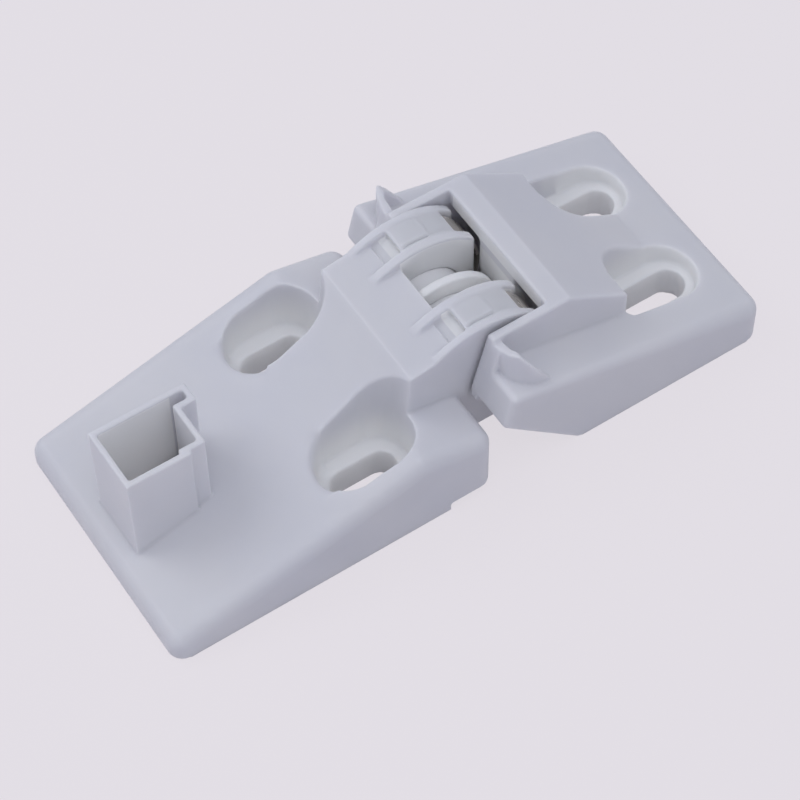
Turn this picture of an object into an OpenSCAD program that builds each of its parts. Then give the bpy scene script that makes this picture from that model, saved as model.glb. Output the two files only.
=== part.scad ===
// Lid hinge with two moulded leaves and a sprung barrel between them.
// X runs from the cabinet leaf to the lid leaf, Y along the hinge axis, Z up.
// The origin lies on the mounting plane, under the middle of the part.
// The modules are drawn about the hinge axis, and each node is then placed.

/* [Leaves] */
// Width of both leaves along the hinge axis
leaf_w = 70; // [66:0.5:76]
// Radius on the outer corners and top edges of the leaves
edge_r = 4; // [3:0.25:5]
// Thickness of the moulded skin
wall = 2.2; // [1.6:0.1:2.6]
// Thickness of the stiffening ribs underneath
rib_t = 1.6; // [1.2:0.1:2]
// Height of the hinge axis above the mounting plane
axis_z = 20.3; // [20:0.1:21]

/* [Cabinet leaf] */
// Distance from the hinge axis to the leaf's far end
cab_len = 95.8; // [93:0.1:105]
// Height of the far end
cab_low = 6.2; // [5:0.1:7]
// Distance from the axis to the crest of the ramp
crest_x = 26.1; // [25:0.1:28]
// Height of the crest of the ramp
crest_z = 25.1; // [23:0.1:27]
// Distance from the axis to the end wall beside the barrels
end_x = 6.5; // [6.2:0.1:8]
// Height of the end wall beside the barrels
end_z = 20.2; // [18:0.1:21]
// Clear height under the leaf beside the barrels
foot_z = 2.2; // [1.5:0.1:3]
// Length of that raised part of the underside
foot_len = 12.4; // [8:0.1:14]

/* [Hump] */
// Width of the hump that leads to the barrels
hump_w = 38.6; // [38:0.1:40]
// Distance from the axis to where the hump leaves the ramp
hump_x = 53.4; // [50:0.1:56]
// Distance from the axis to the crease below the barrels
crease_x = 20; // [18:0.1:21]
// Height of that crease
crease_z = 36.8; // [35:0.1:37.5]
// Distance from the axis to the hump's front edge at the barrels
lip_x = 7.8; // [7:0.1:9]
// Distance from the axis to the hump's front edge in the middle gap
lip_mid_x = 5.4; // [5:0.1:7]
// Height of the hump's front edge
lip_z = 39.3; // [39:0.1:40]

/* [Screw pockets] */
// Width of the cabinet leaf's screw slots
cab_slot_w = 8; // [6:0.1:9]
// Length of the cabinet leaf's screw slots along X
cab_slot_l = 17.6; // [14:0.1:19]
// Width of the lid leaf's screw slots
lid_slot_w = 9.2; // [6:0.1:10]
// Length of the lid leaf's screw slots along X
lid_slot_l = 19.8; // [14:0.1:20.5]
// Height of the pocket floors
pocket_z = 10; // [8:0.1:11]
// Width of the pocket floors
pocket_w = 16.4; // [15:0.1:17.5]
// Length of the pocket floors
pocket_l = 24; // [22:0.1:25]
// Draft of the pocket walls in degrees
pocket_draft = 4; // [1:0.5:5]
// Distance from the axis to the cabinet leaf's slots
cab_slot_x = 34.4; // [33.5:0.1:36]
// Distance from the middle to the cabinet leaf's slots
cab_slot_y = 20.3; // [20:0.1:22]
// Distance from the axis to the lid leaf's slots
lid_slot_x = 53.6; // [53:0.1:54]
// Distance from the axis to the square corner of the lid leaf's pockets
lid_corner_x = 40; // [39.5:0.1:41]
// Distance from the middle to the lid leaf's slots
lid_slot_y = 15.1; // [14:0.1:16]

/* [Post] */
// Distance from the axis to the post's far side
post_x = 90.1; // [89:0.1:91]
// Length of the post along X
post_l = 21.6; // [18:0.1:23]
// Width of the post along Y
post_w = 17.9; // [15:0.1:19]
// Distance of the post's middle from the middle of the leaf
post_y = 0.5; // [-1:0.1:1]
// Length of the lug on the post's inner end
lug_l = 4.3; // [3:0.1:5]
// Width of that lug
lug_w = 5.6; // [4:0.1:6]
// Height of the post's rim above the mounting plane
post_z = 37; // [30:0.1:42]
// Thickness of the post's walls
post_t = 1.5; // [1.2:0.1:2]

/* [Barrels] */
// Outer radius of the barrel ribs
barrel_r = 22.05; // [21.8:0.05:22.3]
// Distance from the axis to the square end of the ribs
rib_end_x = 16.1; // [15.5:0.1:17]
// Distance from the middle to each inner rib
rib_in_y = 7.65; // [7.5:0.05:8.5]
// Thickness of the inner ribs
rib_in_t = 2.25; // [2:0.05:2.5]
// Distance from the middle to each outer rib
rib_out_y = 17.4; // [17:0.05:18]
// Radius of the rib in the middle gap
mid_rib_r = 17.2; // [16:0.05:17.4]
// Thickness of the rib in the middle gap
mid_rib_t = 2.25; // [1.8:0.05:2.6]
// Thickness of the barrel shells
shell_t = 1.1; // [0.9:0.05:1.2]
// Angle of the shells' front edge above the level of the axis
shell_front = 56; // [50:1:60]
// Angle of the shells' back edge
shell_back = 99; // [97:0.5:100]
// Length of the raised pad on each shell, along X
pad_l = 8; // [6:0.1:9]
// Width of that pad
pad_w = 5.7; // [4:0.1:6]
// Height of that pad
pad_h = 0.25; // [0.15:0.05:0.3]

/* [Spring core] */
// Radius of the core
arbor_r = 11.8; // [11.5:0.05:12]
// Running gap between the core and the ribs
arbor_gap = 0.1; // [0.08:0.01:0.15]
// Radius of the steel shaft that carries the core and the lid leaf's arms
pin_r = 2.5; // [2.2:0.1:2.8]
// Distance between the two flats of that shaft
pin_flat = 3.8; // [3:0.1:4.2]

/* [Springs] */
// Thickness of the spring strip
strip_t = 0.6; // [0.5:0.05:0.8]
// Radius of the outer lap at its anchored end
spring_r = 20.6; // [20.3:0.05:20.7]
// Number of close laps
spring_laps = 3; // [2.5:0.25:3.5]

/* [Lid leaf] */
// Distance from the axis to the leaf's far end
lid_len = 73.9; // [73:0.1:80]
// Height of the far end
lid_low = 12.4; // [12:0.1:13]
// Height of the leaf's top edge over the hinge
lid_high = 31.9; // [31:0.1:33]
// Distance that the lower edge of the front face reaches past the axis
front_low_x = 3.9; // [3.6:0.1:4.2]
// Height of the lower edge of the front face
front_low_z = 21.7; // [21.4:0.1:22]
// Distance from the axis to the start of the chamfer underneath
chamfer_x = 16.4; // [15.5:0.1:17]
// Height of the arms and the bridge
bridge_z = 40.2; // [39.8:0.1:40.6]
// Distance from the axis to the bridge's front edge
bridge_x = 17.1; // [17:0.1:18]
// Distance from the axis to the bridge's back edge
bridge_back_x = 22.8; // [22:0.1:24]
// Half of the width across the outsides of the arms
arm_y = 22.6; // [22.4:0.1:23]
// Thickness of the arms
arm_t = 2.3; // [2:0.1:2.5]
// Distance from the axis to the platform's lower edge
platform_x = 57.9; // [57:0.1:59]
// Height of the platform's lower edge
platform_z = 16.5; // [16:0.1:17]
// Half of the width of the web under the bridge
web_y = 7.3; // [7:0.05:7.35]
// Gap between the barrels and the lid leaf around them
sweep_gap = 0.45; // [0.35:0.05:0.5]
// Height of the corner fins' tips
fin_z = 42; // [41:0.1:43]
// Thickness of the corner fins
fin_t = 2; // [1.6:0.1:2.2]

/* [Hidden] */
$fn = 64;
slack = 0.01;
clear = 1;
seat_gap = 0.05;
end_gap = 0.3;
snap = 0.3;
flush_gap = 0.05;
lining = 0.4;
relief = 0.4;
groove_w = 0.8;
groove_h = 0.4;
half_w = leaf_w / 2;
ramp_slope = (crest_z - cab_low) / (cab_len - crest_x);
hump_foot_z = cab_low + ramp_slope * (cab_len - hump_x);
hump_bend = (crease_z - hump_foot_z - ramp_slope * (hump_x - crease_x)) / pow(hump_x - crease_x, 2);
hump_steps = 14;
arc_steps = 24;
pocket_depth = bridge_z - pocket_z + clear;
rib_out_t = hump_w / 2 - rib_out_y;
shell_in_r = barrel_r - shell_t;
shell_out_r = barrel_r - flush_gap - pad_h;
core_y = rib_out_y - end_gap;
seat_y = rib_in_y + rib_in_t + relief;
floor_out_r = barrel_r - 2.5;
floor_in_r = floor_out_r - shell_t;
lap_r = floor_in_r - strip_t;
mid_wall_r = mid_rib_r + 0.6;
pad_x = 0.9;
pad_from = 1.05;
pad_round = 1;
lane_from = [-rib_out_y, rib_in_y + rib_in_t];
wall_from = 106;
wall_to = 226;
cavity_r = barrel_r + sweep_gap;
bore_r = arbor_r + arbor_gap;
inner_arm_y = arm_y - arm_t;
tip_r = 1.5;
arm_boss_r = 3.9;
front_lean = 0.25;
fin_set = 0.1;
curl_y = 25.5;
curl_x = 0.7;
corner_out = 0.7;
axis_x = (cab_len - lid_len) / 2;
fin_foot_z = 29.3;
fin_low_z = 38.1;
cab_points = [[-cab_len, -wall - clear], [-cab_len, cab_low], [-crest_x, crest_z],
    [-end_x, end_z], [-end_x, -wall - clear]];
lid_points = [[chamfer_x, 0], [lid_len, 0], [lid_len, lid_low], [-front_x(lid_high), lid_high],
    [-front_low_x, front_low_z]];
tail_gap = 0.15;
tail_r = 8.5;
last_r = arbor_r + strip_t / 2 + 0.2;
spring_turns = spring_laps + 0.5;
anchor_from = shell_back - 2.2;
spring_out = anchor_from - 0.2;
spring_in = spring_out - 360 * spring_turns;
lap_steps = 110;
spring_w = rib_out_y - rib_in_y - rib_in_t - 2 * 0.3;
spring_y = (rib_out_y + rib_in_y + rib_in_t) / 2;

// Distance of the lid leaf's front face before the axis, at height z
function front_x(z) = front_low_x - front_lean * (z - front_low_z);

// Height of the cabinet leaf's hump, at distance x from the axis
function hump_z(x) = hump_foot_z + ramp_slope * (hump_x - x) + hump_bend * pow(hump_x - x, 2);

// Points of an arc about the origin
function arc(r, from, to, steps = arc_steps) =
    [for (i = [0:steps]) r * [cos(from + (to - from) * i / steps), sin(from + (to - from) * i / steps)]];

// Centre of the circle of radius r that touches both lines that meet at b
function inset(a, b, c, r) =
    let (u = (a - b) / norm(a - b), v = (c - b) / norm(c - b), w = u + v)
    b + w / norm(w) * r / sqrt((1 - u * v) / 2);

// A profile drawn in X and Z, extruded along Y about the middle
module slab(w, y = 0) {
    translate([0, y + w / 2, 0]) rotate([90, 0, 0]) linear_extrude(w) children();
}

// Moves a piece from the hinge axis to the frame, whose origin is under the middle of the part
module placed() {
    translate([axis_x, 0, 0]) children();
}

// The same on both sides of the middle
module both() {
    children();
    mirror([0, 1, 0]) children();
}

// A disc about the hinge axis, starting at distance y from the middle
module disc(r, t, y = 0) {
    translate([0, y + t, axis_z]) rotate([90, 0, 0]) cylinder(r = r, h = t);
}

// A profile about the hinge axis, its own origin on the axis
module about_axis(t, y = 0) {
    translate([0, y + t, axis_z]) rotate([90, 0, 0]) linear_extrude(t) children();
}

// A ring sector about the hinge axis
module sector(r_in, r_out, from, to) {
    intersection() {
        difference() {
            circle(r = r_out, $fn = 128);
            circle(r = r_in, $fn = 128);
        }
        polygon(concat([[0, 0]], arc(2 * r_out, from, to, 6)));
    }
}

// Section of the shaft, round with two flats
module shaft_outline(gap = 0) {
    intersection() {
        circle(r = pin_r + gap);
        square([pin_flat + 2 * gap, 3 * pin_r], center = true);
    }
}

// A slot with round ends, its length over all along X
module stadium(l, w, h) {
    for (s = [-1, 1]) translate([s * (l - w) / 2, 0, 0]) cylinder(d = w, h = h);
    translate([(w - l) / 2, -w / 2, 0]) cube([l - w, w, h]);
}

// The same with walls that open upwards
module drafted_stadium(l, w, h, draft) {
    grow = h * tan(draft);
    for (s = [-1, 1])
        translate([s * (l - w) / 2, 0, 0]) cylinder(d1 = w, d2 = w + 2 * grow, h = h);
    translate([(l - w) / 2, 0, 0]) rotate([90, 0, -90]) linear_extrude(l - w)
        polygon([[-w / 2, 0], [w / 2, 0], [w / 2 + grow, h], [-w / 2 - grow, h]]);
}

// Outer body of the cabinet leaf beside the hump, with round corners and edges
module cabinet_wedge() {
    y = half_w - edge_r;
    hull() for (s = [-1, 1]) {
        for (i = [1:3]) {
            c = inset(cab_points[i - 1], cab_points[i], cab_points[i + 1], edge_r);
            translate([c[0], s * y, c[1]]) sphere(r = edge_r, $fn = 32);
        }
        translate([-cab_len + edge_r, s * y, 0]) cylinder(r = edge_r, h = slack, $fn = 32);
        translate([-end_x - edge_r, s * y, 0]) cylinder(r = edge_r, h = slack, $fn = 32);
    }
}

// Profile of the hump, lowered by drop for its inside
module hump_profile(drop = 0, front = 0) {
    step = (hump_x - crease_x) / hump_steps;
    polygon(concat(
        [[-hump_x, -clear], [-hump_x, hump_foot_z - drop - 0.3]],
        [for (i = [1:hump_steps]) [-hump_x + i * step, hump_z(hump_x - i * step) - drop]],
        [[-lip_mid_x - front, lip_z - drop], [-lip_mid_x - front, -clear]]));
}

// Screw pockets, cut from above
module pocket_cuts(x, y, z = pocket_z, grow = 0) {
    both() translate([x, y, z])
        drafted_stadium(pocket_l + 2 * grow, pocket_w + 2 * grow, pocket_depth, pocket_draft);
}

// Screw slots, cut right through
module slot_cuts(x, y, l, w) {
    both() translate([x, y, -clear]) stadium(l, w, pocket_z + 2 * clear);
}

// Collars that reach from the pocket floors to the mounting plane
module slot_collars(x, y, l, w) {
    both() translate([x, y, 0]) stadium(l + 2 * wall, w + 2 * wall, pocket_z);
}

// Square outer corner of the lid leaf's pockets, where they break through the platform's side
module corner_cuts(z = pocket_z, grow = 0) {
    round_r = 2.5;
    both() translate([0, 0, z]) linear_extrude(pocket_depth) offset(r = round_r + grow)
        translate([lid_corner_x + round_r, lid_slot_y])
        square([lid_slot_x - lid_corner_x - 2 * round_r, pocket_w / 2 + corner_out - round_r]);
}

// Outline of a barrel rib about the axis, round at the back and square at the front
module rib_outline() {
    round_r = 2;
    cx = rib_end_x - round_r;
    cz = sqrt(pow(barrel_r - round_r, 2) - cx * cx);
    tip = barrel_r / (barrel_r - round_r);
    intersection() {
        difference() {
            circle(r = barrel_r, $fn = 128);
            translate([rib_end_x, -barrel_r]) square([barrel_r, 2 * barrel_r]);
            difference() {
                polygon([[cx, cz], [cx, cz] * tip * 1.001, [cx + 3 * round_r, cz + 3 * round_r],
                    [cx + 3 * round_r, cz]]);
                translate([cx, cz]) circle(r = round_r);
            }
        }
        translate([-barrel_r, foot_z - axis_z]) square([2 * barrel_r, 2 * barrel_r]);
    }
}

// The four barrel ribs and the rib in the middle gap
module barrel_ribs() {
    both() {
        about_axis(rib_in_t, rib_in_y) rib_outline();
        about_axis(rib_out_t, rib_out_y) rib_outline();
    }
    disc(mid_rib_r, mid_rib_t, -mid_rib_t / 2);
    about_axis(mid_rib_t, -mid_rib_t / 2) sector(mid_rib_r - 1, mid_wall_r + shell_t / 2, wall_from + 3, wall_to - 3);
}

// Thin covers over the springs, each with its anchor block
module barrel_shells() {
    w = rib_out_y - rib_in_y - rib_in_t;
    bite = rib_in_t / 2;
    both() about_axis(w + 2 * bite, rib_in_y + rib_in_t - bite) {
        sector(shell_in_r, shell_out_r, shell_front, shell_back);
        sector(floor_in_r + shell_t / 2, barrel_r - shell_t / 2, anchor_from, shell_back - 0.4);
        sector(floor_in_r, floor_out_r, shell_back - 1.2, wall_to);
    }
    about_axis(2 * (rib_in_y + bite), -rib_in_y - bite)
        sector(mid_wall_r, mid_wall_r + shell_t, wall_from, wall_to);
}

// Raised pad on each shell, on the same side in both barrels
module shell_pads() {
    for (y = lane_from) intersection() {
        translate([pad_x, y + pad_from + pad_w / 2, axis_z]) linear_extrude(2 * barrel_r)
            offset(r = pad_round) square([pad_l - 2 * pad_round, pad_w - 2 * pad_round], center = true);
        about_axis(pad_from + pad_w, y + slack) sector(shell_out_r - shell_t / 2, barrel_r - flush_gap, 60, 115);
    }
}

// Narrow groove beside each pad
module pad_grooves() {
    for (y = lane_from) intersection() {
        translate([pad_x - pad_l / 2, y + pad_from - groove_w, axis_z]) cube([pad_l, groove_w, 2 * barrel_r]);
        about_axis(pad_from + pad_w, y) sector(shell_out_r - groove_h, barrel_r + clear, 60, 115);
    }
}

// Room inside the barrels for the springs and around the core
module barrel_space() {
    both() about_axis(rib_out_y - rib_in_y - rib_in_t, rib_in_y + rib_in_t)
        circle(r = floor_in_r + lining, $fn = 128);
    about_axis(2 * rib_in_y, -rib_in_y) circle(r = mid_wall_r + lining, $fn = 128);
    translate([-floor_in_r / 2, -rib_out_y, -clear]) cube([floor_in_r / 2, 2 * rib_out_y, foot_z + 2 * clear]);
}

// Open pockets between the shells and the hump's front edge
module lip_cuts() {
    w = rib_out_y - rib_in_y - rib_in_t;
    both() translate([-lip_x, rib_in_y + rib_in_t, axis_z + floor_out_r - 4])
        cube([lip_x, w, barrel_r]);
}

// Hollow post on the ramp
module post_outline(in) {
    x0 = -post_x + in;
    x1 = -post_x + post_l - in;
    y0 = post_y - post_w / 2 + in;
    y1 = post_y + post_w / 2 - in;
    step = 1.1;
    polygon([[x0, y0], [x1 - lug_l - in / 2, y0], [x1 - lug_l - in / 2, y0 + step], [x1, y0 + step],
        [x1, y1 - lug_w + 2 * in], [x1 + lug_l, y1 - lug_w + 2 * in], [x1 + lug_l, y1], [x0, y1]]);
}

module cabinet_leaf() {
    color([0.93, 0.94, 0.96]) placed() difference() {
        union() {
            difference() {
                union() {
                    cabinet_wedge();
                    slab(hump_w) hump_profile();
                }
                slab(leaf_w - 2 * wall) offset(delta = -wall) polygon(cab_points);
                slab(hump_w - 2 * wall) hump_profile(wall * 1.2, wall);
                barrel_space();
                lip_cuts();
            }
            intersection() {
                union() {
                    cabinet_wedge();
                    slab(hump_w) hump_profile();
                }
                union() {
                    pocket_cuts(-cab_slot_x, cab_slot_y, pocket_z - wall, wall);
                    slot_collars(-cab_slot_x, cab_slot_y, cab_slot_l, cab_slot_w);
                    cabinet_webs();
                }
            }
            barrel_ribs();
            barrel_shells();
            shell_pads();
            translate([0, 0, foot_z]) linear_extrude(post_z - foot_z) post_outline(0);
        }
        pocket_cuts(-cab_slot_x, cab_slot_y);
        slot_cuts(-cab_slot_x, cab_slot_y, cab_slot_l, cab_slot_w);
        translate([0, 0, -clear]) linear_extrude(post_z + 2 * clear) post_outline(post_t);
        translate([-end_x - foot_len, -half_w, -clear]) cube([end_x + foot_len, leaf_w, foot_z + clear]);
        disc(bore_r, 2 * seat_y, -seat_y);
        translate([snap - bore_r, -seat_y, -clear]) cube([2 * (bore_r - snap), 2 * seat_y, axis_z + clear]);
        disc(pin_r + arbor_gap, hump_w + 2 * relief, -hump_w / 2 - relief);
        pad_grooves();
        translate([-2 * cab_len, -leaf_w, -leaf_w]) cube([2 * cab_len, 2 * leaf_w, leaf_w]);
    }
}

// Stiffening webs under the cabinet leaf
module cabinet_webs() {
    for (y = [-1, 1]) translate([-cab_len, y * 9.5 - rib_t / 2, 0])
        cube([cab_len - floor_out_r - rib_t / 2, rib_t, bridge_z]);
    for (x = [68, 52]) translate([-x, -half_w, 0]) cube([rib_t, leaf_w, bridge_z]);
}

// Side profile of the bridge, the arms and the sloping platform
module platform_profile() {
    polygon([[chamfer_x, 0], [platform_x, 0], [platform_x, platform_z], [bridge_back_x, bridge_z],
        [-front_x(bridge_z), bridge_z], [-front_low_x, front_low_z]]);
}

// Outer body of the lid leaf beside the arms, with round corners at the far end
module lid_wedge() {
    p = lid_points;
    y = half_w - edge_r;
    far = inset(p[1], p[2], p[3], edge_r);
    hull() for (s = [-1, 1]) {
        translate([far[0], s * y, far[1]]) sphere(r = edge_r, $fn = 32);
        translate([lid_len - edge_r, s * y, 0]) cylinder(r = edge_r, h = slack, $fn = 32);
        translate([chamfer_x + 2 * tip_r, s * (half_w - tip_r), 0]) cylinder(r = tip_r, h = slack, $fn = 24);
        for (i = [3, 4]) {
            tip = inset(p[i - 1], p[i], p[(i + 1) % 5], tip_r);
            translate([tip[0], s * (half_w - tip_r), tip[1]]) sphere(r = tip_r, $fn = 24);
        }
    }
}

// Thin fins that carry the front face on, then curl upright round the front corners
module corner_fins() {
    turn_r = half_w - 2.5 - curl_y;
    tail_x = 10.4;
    both() intersection() {
        union() {
            slab(curl_y - inner_arm_y, (curl_y + inner_arm_y) / 2) polygon([
                [fin_set - front_low_x, front_low_z], [fin_set - front_x(fin_z), fin_z],
                [fin_set - front_x(fin_z) + fin_t, fin_z], [fin_set - front_low_x + 2 * fin_t, front_low_z]]);
            translate([curl_x, 0, front_low_z]) linear_extrude(fin_z) {
                intersection() {
                    difference() {
                        translate([turn_r, curl_y]) circle(r = turn_r);
                        translate([turn_r, curl_y]) circle(r = turn_r - fin_t);
                    }
                    translate([-clear, curl_y - slack]) square([turn_r + clear + slack, turn_r + clear]);
                }
                translate([0, curl_y - fin_t / 2]) square([fin_t, fin_t / 2]);
                translate([turn_r, curl_y + turn_r - fin_t]) square([tail_x, fin_t]);
            }
        }
        slab(leaf_w) polygon([[-front_low_x, front_low_z], [-clear, fin_z], [2.4, fin_z],
            [tail_x, fin_foot_z], [tail_x, front_low_z]]);
        rotate([90, 0, 90]) translate([0, 0, -leaf_w / 2]) linear_extrude(leaf_w)
            polygon([[inner_arm_y, 0], [inner_arm_y, fin_low_z], [curl_y + turn_r, fin_z],
                [half_w, fin_z], [half_w, 0]]);
    }
}

// Web under the bridge that reaches into the middle gap
module middle_web() {
    web_r = mid_rib_r + 0.4;
    back_r = cavity_r + wall / 2;
    slab(2 * web_y) translate([0, axis_z]) polygon(concat(
        [[bridge_x, bridge_z - axis_z], [back_r, bridge_z - axis_z - wall]],
        arc(back_r, 30, -25), arc(web_r, -25, acos(bridge_x / web_r))));
}

// Boss round the shaft in each arm
module arm_bosses() {
    both() disc(arm_boss_r, arm_t, inner_arm_y);
}

// Hole with two flats in each arm
module shaft_holes() {
    both() about_axis(arm_t + 2 * slack, inner_arm_y - slack) shaft_outline(seat_gap);
}

// Stiffening webs under the lid leaf
module lid_webs() {
    for (y = [-1, 1]) {
        translate([cavity_r, y * (arm_y - arm_t / 2) - arm_t / 2, 0]) cube([9, arm_t, bridge_z]);
        translate([cavity_r, y * 5 - rib_t / 2, 0]) cube([lid_len - cavity_r, rib_t, bridge_z]);
    }
    for (x = [33, 68]) translate([x, -half_w, 0]) cube([rib_t, leaf_w, bridge_z]);
}

module lid_leaf() {
    color([0.93, 0.94, 0.96]) placed() difference() {
        union() {
            difference() {
                union() {
                    lid_wedge();
                    slab(2 * arm_y) platform_profile();
                }
                slab(leaf_w - 2 * wall) offset(delta = -wall) polygon(lid_points);
                translate([0, 0, -clear]) slab(leaf_w - 2 * wall) polygon([[chamfer_x + wall, 0],
                    [lid_len - wall, 0], [lid_len - wall, clear + wall + slack],
                    [chamfer_x + wall, clear + wall + slack]]);
                slab(2 * inner_arm_y) offset(delta = -wall) platform_profile();
            }
            intersection() {
                union() {
                    lid_wedge();
                    slab(2 * arm_y) platform_profile();
                }
                union() {
                    pocket_cuts(lid_slot_x, lid_slot_y, pocket_z - wall, wall);
                    corner_cuts(pocket_z - wall, wall);
                    slot_collars(lid_slot_x, lid_slot_y, lid_slot_l, lid_slot_w);
                    lid_webs();
                    both() translate([-cavity_r, inner_arm_y, 0])
                        cube([2 * cavity_r + wall, arm_t, bridge_z]);
                    disc(cavity_r + wall, 2 * arm_y, -arm_y);
                }
            }
            arm_bosses();
            corner_fins();
        }
        disc(cavity_r, 2 * inner_arm_y, -inner_arm_y);
        translate([-cavity_r, -inner_arm_y, -clear])
            cube([cavity_r + bridge_x, 2 * inner_arm_y, bridge_z + 2 * clear]);
        pocket_cuts(lid_slot_x, lid_slot_y);
        corner_cuts();
        slot_cuts(lid_slot_x, lid_slot_y, lid_slot_l, lid_slot_w);
        shaft_holes();
    }
    color([0.93, 0.94, 0.96]) placed() middle_web();
}

// Plain core that turns with the lid leaf, with a slot for each spring's tail
module spring_arbor() {
    color([0.98, 0.98, 0.99]) placed() difference() {
        disc(arbor_r, 2 * core_y, -core_y);
        about_axis(2 * core_y + 2 * clear, -core_y - clear) shaft_outline(seat_gap);
        both() about_axis(spring_w + 2 * strip_t, spring_y - spring_w / 2 - strip_t)
            rotate(spring_in) translate([tail_r - 2 * tail_gap, -tail_gap])
            square([arbor_r, strip_t + 2 * tail_gap]);
    }
}

// Steel shaft with two flats, from arm to arm
module pivot_pin() {
    w = 2 * (arm_y - end_gap);
    color([0.7, 0.71, 0.73]) placed() about_axis(w, -w / 2) shaft_outline();
}

// Radius of the middle of the spring strip, after a number of turns from its outer end
function lap(t) = t < 0.5
    ? spring_r - (spring_r - lap_r) * (1 - cos(360 * t)) / 2
    : lap_r - (lap_r - last_r) * (t - 0.5) / spring_laps;

// Points along one face of the strip
function strip(shift) = [for (i = [0:lap_steps])
    let (t = i * spring_turns / lap_steps, a = spring_out - 360 * t)
    (lap(t) + shift) * [cos(a), sin(a)]];

function reversed(p) = [for (i = [len(p) - 1:-1:0]) p[i]];

// A point turned about the origin
function turned(p, a) = [p[0] * cos(a) - p[1] * sin(a), p[0] * sin(a) + p[1] * cos(a)];

// Flat spiral spring, its outer end at the shell's anchor wall and its tail in the core
module spiral_spring(side) {
    inner = reversed(strip(-strip_t / 2));
    root = last_r - strip_t / 2;
    color([0.42, 0.37, 0.31]) placed() about_axis(spring_w, side * spring_y - spring_w / 2) polygon(concat(
        strip(strip_t / 2),
        [turned([tail_r, 0], spring_in), turned([tail_r, strip_t], spring_in),
            turned([root, strip_t], spring_in)],
        [for (i = [1:len(inner) - 1]) inner[i]]));
}

module spiral_spring_near() spiral_spring(-1);

module spiral_spring_far() spiral_spring(1);

cabinet_leaf();
lid_leaf();
spring_arbor();
pivot_pin();
spiral_spring_near();
spiral_spring_far();
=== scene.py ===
"""The looks of a sprung lid hinge: satin white mouldings, a glossy core and beige-grey spring strip.

Metres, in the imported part's own frame: X from the cabinet leaf to the lid leaf, Y along the
hinge axis, Z up from the mounting plane, the origin under the middle of the part.
"""

import math

import bmesh
import bpy
from mathutils import Matrix, Vector


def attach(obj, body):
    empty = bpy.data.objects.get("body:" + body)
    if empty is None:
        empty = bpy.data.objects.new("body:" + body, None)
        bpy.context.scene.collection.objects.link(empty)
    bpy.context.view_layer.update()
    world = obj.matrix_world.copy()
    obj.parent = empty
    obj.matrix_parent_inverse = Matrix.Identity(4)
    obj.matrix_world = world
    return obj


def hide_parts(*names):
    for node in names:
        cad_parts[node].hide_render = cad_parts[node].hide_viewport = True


MM = 0.001

# Camera, as fitted to the photograph
LENS_MM = 125.26
SENSOR_MM = 36.0
CAMERA_PLACE = Vector((-207.71, -324.02, 570.37)) * MM
CAMERA_YAW = 32.6745
CAMERA_PITCH = 56.1241
CAMERA_ROLL = -0.8184

# Skins of the mouldings: cell of the first skin, passes that round its edges, its last count of
# triangles, and the distance under which points of the solid are one
SKIN_CELL = 0.35 * MM
SKIN_PASSES = 5
SKIN_TRIANGLES = 190000
SAME_POINT = 0.002 * MM
FLAT_WEIGHT = 80

# Hollows painted paler, a painted glow standing in for light that shines through the thin white walls, in
# millimetres. A pair of pockets is the place of its middles along X, their distance from X, half the
# straight and the radius.
CABINET_POCKETS = (-23.45, 20.3, 3.8, 8.4)
LID_POCKETS = (64.55, 15.1, 3.8, 8.4)
POCKET_FLOOR = 10
POCKET_RIM = 24
POCKET_DRAFT = 0.07
POST_HOLLOW = ((-78.4, -7.7, -5), (-62.6, 8.7, 36.3))
LUG_HOLLOW = ((-62.6, 4.6, -5), (-58.3, 8.7, 36.3))
# The barrel is the place and height of its axis, its radius and half its width
BARREL = (10.95, 20.3, 21.3, 17.3)
BARREL_BACK = 5.5
BAY = ((12, -18.6, 0), (28.4, 18.6, 39.4))
BLUR = 0.2

# Places where a moulding is rounder: corners in millimetres, and the smoothing passes there
HUMP_FOOT = ((-52, -26, 8), (-30, 26, 31), 150)
HUMP_CREST = ((-19, -26, 26), (0, 26, 42), 260)
LID_RIMS = ((52, -28, 12), (80, 28, 34), 25)
CABINET_RIMS = ((-42, -30, 12), (-8, 30, 36), 12)

# Colours, linear, and how far light goes in the plastic
WHITE_PLASTIC = (0.735, 0.735, 0.77, 1)
WHITE_PLASTIC_WARM = (0.765, 0.76, 0.78, 1)
# Painted light: the paler colour of the hollows, a painted glow for light passing through the thin
# plastic
PAINTED_GLOW_PLASTIC = (0.97, 0.965, 0.945, 1)
SEE_THROUGH = 2.5 * MM
CORE_WHITE = (0.86, 0.86, 0.88, 1)
STRIP_DARK = (0.64, 0.60, 0.56, 1)
STRIP_LIGHT = (0.82, 0.785, 0.74, 1)
PIN_STEEL = (0.52, 0.53, 0.55, 1)
FLOOR = (0.80, 0.765, 0.81, 1)
FLOOR_GLOW = 0.85
FLOOR_DROP = 0.2 * MM
FLOOR_HALF = 3

# Studio: a large key behind on the left, a fill from above, and a faintly blue room
LAMP_COLOUR = (0.94, 0.95, 1.0)
KEY = {"place": (-0.52, 0.56, 0.80), "side": 0.7, "power": 2.3}
FILL = {"place": (0.0, -0.35, 1.05), "side": 0.8, "power": 2.4}
ROOM_COLOUR = (0.85, 0.88, 1.0, 1)
ROOM_LIGHT = 0.5


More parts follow.
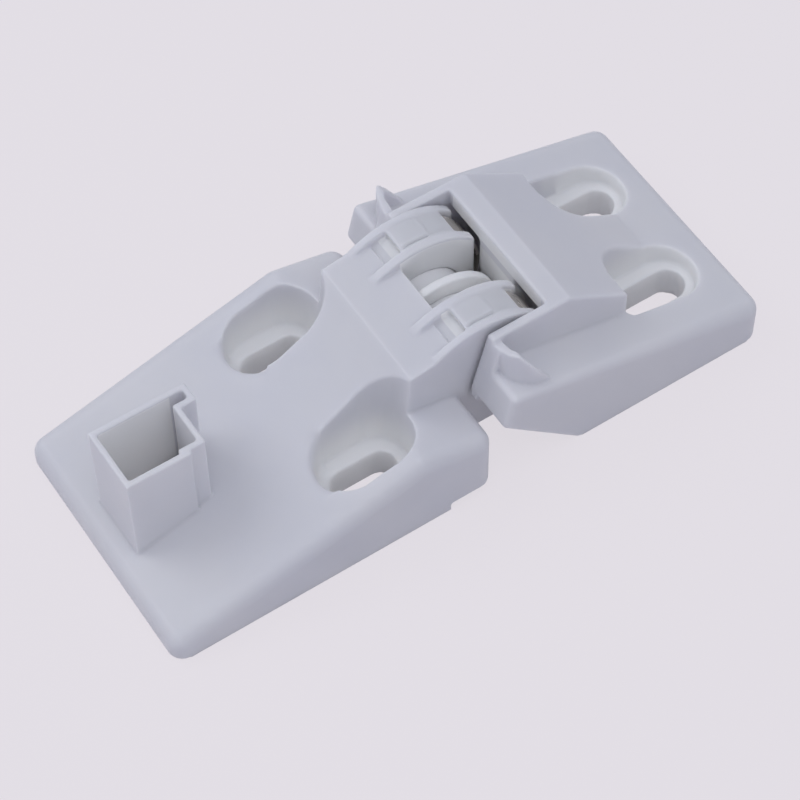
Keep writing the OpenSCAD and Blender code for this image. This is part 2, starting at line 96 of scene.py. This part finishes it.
class Socket:
    """A shader value: arithmetic on it adds Math nodes."""

    def __init__(self, shader, link):
        self.shader = shader
        self.link = link

    def _math(self, operation, a, b):
        return self.shader.node("ShaderNodeMath", {"operation": operation}, {0: a, 1: b})

    def __add__(self, other):
        return self._math("ADD", self, other)

    __radd__ = __add__

    def __mul__(self, other):
        return self._math("MULTIPLY", self, other)

    __rmul__ = __mul__

    def __sub__(self, other):
        return self._math("SUBTRACT", self, other)

    def __rsub__(self, other):
        return self._math("SUBTRACT", other, self)

    def size(self):
        return self._math("ABSOLUTE", self, 0)

    def above(self, other):
        return self._math("MAXIMUM", self, other)

    def root(self):
        return self._math("SQRT", self, 0)


class Shader:
    """A material with one Principled surface, built node by node."""

    def __init__(self, name):
        self.material = bpy.data.materials.new(name)
        self.material.use_nodes = True
        self.tree = self.material.node_tree
        self.surface = self.tree.nodes["Principled BSDF"]

    def node(self, kind, settings=None, inputs=None, output=0):
        made = self.tree.nodes.new(kind)
        for key, value in (settings or {}).items():
            setattr(made, key, value)
        for key, value in (inputs or {}).items():
            self.feed(made.inputs[key], value)
        return Socket(self, made.outputs[output])

    def feed(self, target, value):
        if isinstance(value, Socket):
            self.tree.links.new(value.link, target)
        else:
            target.default_value = value

    def set(self, **inputs):
        for key, value in inputs.items():
            self.feed(self.surface.inputs[key.replace("_", " ")], value)

    def place(self, scale=(1, 1, 1)):
        spot = self.node("ShaderNodeTexCoord", output="Object")
        return self.node("ShaderNodeMapping", {}, {"Vector": spot, "Scale": scale})

    def noise(self, scale, detail=2.0, roughness=0.5, stretch=(1, 1, 1)):
        inputs = {"Vector": self.place(stretch), "Scale": scale, "Detail": detail, "Roughness": roughness}
        return self.node("ShaderNodeTexNoise", {}, inputs)

    def span(self, value, low, high, to_low=0.0, to_high=1.0):
        inputs = {"Value": value, "From Min": low, "From Max": high, "To Min": to_low, "To Max": to_high}
        return self.node("ShaderNodeMapRange", {}, inputs)

    def step(self, value, low, high):
        inputs = {"Value": value, "From Min": low, "From Max": high}
        return self.node("ShaderNodeMapRange", {"interpolation_type": "SMOOTHSTEP"}, inputs)

    def box(self, place, corners):
        """1 inside a box, 0 outside it."""
        share = 1
        for value, low, high in zip(place, *corners):
            share = share * self.step(value, low - BLUR, low + BLUR)
            share = share * self.step(value, high + BLUR, high - BLUR)
        return share

    def axes(self):
        """The three places along the axes, in millimetres."""
        spot = self.node("ShaderNodeTexCoord", output="Object")
        spot = self.node("ShaderNodeVectorMath", {"operation": "SCALE"}, {0: spot, "Scale": 1 / MM})
        parts = self.tree.nodes.new("ShaderNodeSeparateXYZ")
        self.feed(parts.inputs[0], spot)
        return [Socket(self, parts.outputs[i]) for i in range(3)]

    def blend(self, share, one, other):
        inputs = {0: share, 6: one, 7: other}
        return self.node("ShaderNodeMix", {"data_type": "RGBA"}, inputs, 2)

    def bump(self, height, distance, strength=1.0):
        inputs = {"Height": height, "Distance": distance, "Strength": strength}
        return self.node("ShaderNodeBump", {}, inputs)


def painted_glow_hollows(s):
    """1 inside the screw pockets, the post, the barrel and the bay behind it, where a paler painted glow
    stands in for light through the thin walls, 0 on the outside.
    """
    x, y, z = s.axes()
    share = 0
    for middle, apart, straight, radius in (CABINET_POCKETS, LID_POCKETS):
        along = ((x - middle).size() - straight).above(0)
        across = y.size() - apart
        widening = (z - POCKET_FLOOR).above(0) * POCKET_DRAFT
        off = (along * along + across * across).root() - widening
        share = share + s.step(off, radius + 3 * BLUR, radius - 2 * BLUR)
    share = share * s.step(z, POCKET_RIM, POCKET_FLOOR)
    share = share + s.box((x, y, z), POST_HOLLOW) + s.box((x, y, z), LUG_HOLLOW)
    middle, height, radius, side = BARREL
    along, up = x - middle, z - height
    off = (along * along + up * up).root()
    barrel = s.step(off, radius, radius - 2 * BLUR) * s.step(y.size(), side, side - 0.3)
    barrel = barrel * s.step(x, BARREL_BACK - BLUR, BARREL_BACK + BLUR)
    bay = s.box((x, y, z), BAY) * s.step(off, radius + 1.2, radius + 1.6)
    return share + barrel + bay


def white_moulding():
    """Satin white plastic with a fine moulded grain, a faint drift in tone, and a paler painted glow in
    its hollows for light through the thin walls.
    """
    s = Shader("white_moulding")
    drift = s.span(s.noise(28, 3), 0.35, 0.65)
    grain = s.noise(5200, 2, 0.6)
    flow = s.noise(160, 3, 0.55)
    outside = s.blend(drift, WHITE_PLASTIC, WHITE_PLASTIC_WARM)
    s.set(
        # Painted light: the hollows take a paler colour, a painted glow for light shining through the
        # thin plastic
        Base_Color=s.blend(painted_glow_hollows(s), outside, PAINTED_GLOW_PLASTIC),
        Roughness=s.span(flow, 0.3, 0.7, 0.40, 0.50),
        Normal=s.bump(grain + flow * 0.6, 0.00002, 0.5),
        Subsurface_Weight=1.0,
        Subsurface_Radius=(1.0, 0.97, 0.95),
        Subsurface_Scale=SEE_THROUGH,
    )
    return s.material


def gloss_white():
    """Smooth bright plastic of the spring core."""
    s = Shader("gloss_white")
    s.set(
        Base_Color=CORE_WHITE,
        Roughness=s.span(s.noise(300, 2), 0.3, 0.7, 0.10, 0.18),
        Coat_Weight=0.5,
        Coat_Roughness=0.06,
    )
    return s.material


def spring_strip():
    """Bare spring steel, beige-grey, its drawn lines running along the strip."""
    s = Shader("spring_strip")
    lines = s.noise(1, 3, 0.6, (0, 5200, 0))
    patches = s.noise(120, 3)
    streaks = s.span(lines * 0.6 + patches * 0.4, 0.4, 0.6)
    s.set(
        Base_Color=s.blend(streaks, STRIP_DARK, STRIP_LIGHT),
        Metallic=0.35,
        Roughness=s.span(patches, 0.3, 0.7, 0.20, 0.34),
        Normal=s.bump(lines, 0.00001, 0.5),
    )
    return s.material


def pin_steel():
    """Ground steel of the pin."""
    s = Shader("pin_steel")
    s.set(
        Base_Color=PIN_STEEL,
        Metallic=1.0,
        Roughness=s.span(s.noise(400, 2), 0.3, 0.7, 0.22, 0.34),
    )
    return s.material


def dress(piece, material):
    """The piece in one material alone."""
    piece.data.materials.clear()
    piece.data.materials.append(material)


def baked(mesh, kind, inside=(), **settings):
    """The mesh with one modifier worked in, on all of it or on the points given."""
    holder = bpy.data.objects.new("holder", mesh)
    bpy.context.scene.collection.objects.link(holder)
    worked = holder.modifiers.new(kind, kind)
    for key, value in settings.items():
        setattr(worked, key, value)
    if inside:
        holder.vertex_groups.new(name="inside").add(inside, 1.0, "REPLACE")
        worked.vertex_group = "inside"
    graph = bpy.context.evaluated_depsgraph_get()
    seen = holder.evaluated_get(graph)
    made = bpy.data.meshes.new_from_object(seen, preserve_all_data_layers=True, depsgraph=graph)
    bpy.data.objects.remove(holder)
    return made


def eased(mesh, low, high, passes):
    """The mesh smoothed inside a box given in millimetres."""
    low, high = Vector(low) * MM, Vector(high) * MM
    inside = [v.index for v in mesh.vertices
              if low.x < v.co.x < high.x and low.y < v.co.y < high.y and low.z < v.co.z < high.z]
    return baked(mesh, "SMOOTH", inside, factor=0.5, iterations=passes)


def moulded(node, body, material, places):
    """A skin over a moulding, soft at every edge, which stands for the node."""
    form = bmesh.new()
    form.from_mesh(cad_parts[node].data)
    bmesh.ops.remove_doubles(form, verts=form.verts, dist=SAME_POINT)
    mesh = bpy.data.meshes.new(node)
    form.to_mesh(mesh)
    form.free()
    mesh = baked(mesh, "REMESH", mode="VOXEL", voxel_size=SKIN_CELL)
    mesh = baked(mesh, "SMOOTH", factor=0.5, iterations=SKIN_PASSES)
    for low, high, passes in places:
        mesh = eased(mesh, low, high, passes)
    mesh = baked(mesh, "DECIMATE", ratio=SKIN_TRIANGLES / (2 * len(mesh.polygons)))
    for face in mesh.polygons:
        face.use_smooth = True
    mesh = baked(mesh, "WEIGHTED_NORMAL", weight=FLAT_WEIGHT)
    mesh.name = node + "_skin"
    piece = bpy.data.objects.new(node + "_skin", mesh)
    bpy.context.scene.collection.objects.link(piece)
    dress(piece, material)
    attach(piece, body)
    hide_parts(node)


def camera():
    """The camera at the photograph's viewing angle."""
    yaw, pitch, roll = (math.radians(a) for a in (CAMERA_YAW, CAMERA_PITCH, CAMERA_ROLL))
    level = math.cos(pitch)
    ahead = Vector((math.sin(yaw) * level, math.cos(yaw) * level, -math.sin(pitch)))
    right = Vector((math.cos(yaw), -math.sin(yaw), 0))
    up = right.cross(ahead)
    turned_right = math.cos(roll) * right + math.sin(roll) * up
    turned_up = -math.sin(roll) * right + math.cos(roll) * up
    axes = Matrix((turned_right, turned_up, -ahead)).transposed()
    data = bpy.data.cameras.new("camera")
    data.lens = LENS_MM
    data.sensor_width = SENSOR_MM
    data.clip_start = 0.01
    data.clip_end = 20
    made = bpy.data.objects.new("camera", data)
    made.matrix_world = Matrix.Translation(CAMERA_PLACE) @ axes.to_4x4()
    bpy.context.scene.collection.objects.link(made)
    bpy.context.scene.camera = made


def softbox(name, place, side, power):
    """A square area lamp aimed at the middle of the part."""
    data = bpy.data.lights.new(name, "AREA")
    data.color = LAMP_COLOUR
    data.shape = "SQUARE"
    data.size = side
    data.energy = power
    made = bpy.data.objects.new(name, data)
    made.location = place
    made.rotation_euler = (-Vector(place)).to_track_quat("-Z", "Y").to_euler()
    bpy.context.scene.collection.objects.link(made)


def floor():
    """Pale table: it takes the shadow, and the camera and reflections see it nearly white."""
    s = Shader("floor")
    s.set(Base_Color=FLOOR, Roughness=0.6)
    path = s.tree.nodes.new("ShaderNodeLightPath")
    rays = ("Is Camera Ray", "Is Glossy Ray", "Is Transmission Ray")
    camera_ray, glossy_ray, clear_ray = (Socket(s, path.outputs[ray]) for ray in rays)
    seen = (camera_ray + glossy_ray + clear_ray) * FLOOR_GLOW
    lit = Socket(s, s.surface.outputs[0])
    glow = s.node("ShaderNodeEmission", {}, {"Color": FLOOR, "Strength": 1.0})
    both = s.node("ShaderNodeMixShader", {}, {0: seen, 1: lit, 2: glow})
    s.tree.links.new(both.link, s.tree.nodes["Material Output"].inputs["Surface"])
    form = bmesh.new()
    bmesh.ops.create_grid(form, x_segments=1, y_segments=1, size=FLOOR_HALF)
    mesh = bpy.data.meshes.new("floor")
    form.to_mesh(mesh)
    form.free()
    plane = bpy.data.objects.new("floor", mesh)
    plane.location.z = -FLOOR_DROP
    bpy.context.scene.collection.objects.link(plane)
    dress(plane, s.material)


def room():
    """Even light from all round."""
    made = bpy.data.worlds.new("studio")
    made.use_nodes = True
    back = made.node_tree.nodes["Background"]
    back.inputs["Color"].default_value = ROOM_COLOUR
    back.inputs["Strength"].default_value = ROOM_LIGHT
    bpy.context.scene.world = made


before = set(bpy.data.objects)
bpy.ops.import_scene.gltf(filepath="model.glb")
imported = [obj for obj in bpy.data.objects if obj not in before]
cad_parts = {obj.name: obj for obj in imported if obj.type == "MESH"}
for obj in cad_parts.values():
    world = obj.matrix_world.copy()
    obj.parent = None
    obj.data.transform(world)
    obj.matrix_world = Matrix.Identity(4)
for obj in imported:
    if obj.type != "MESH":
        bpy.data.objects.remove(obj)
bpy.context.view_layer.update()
bpy.context.scene.view_settings.view_transform = "Standard"

camera()
floor()
room()
softbox("key", **KEY)
softbox("fill", **FILL)

plastic = white_moulding()
moulded("cabinet_leaf", "cabinet_side", plastic, (HUMP_FOOT, HUMP_CREST, CABINET_RIMS))
moulded("lid_leaf", "lid_side", plastic, (LID_RIMS,))
dress(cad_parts["spring_arbor"], gloss_white())
dress(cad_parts["pivot_pin"], pin_steel())
strip = spring_strip()
for name in ("spiral_spring_near", "spiral_spring_far"):
    dress(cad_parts[name], strip)
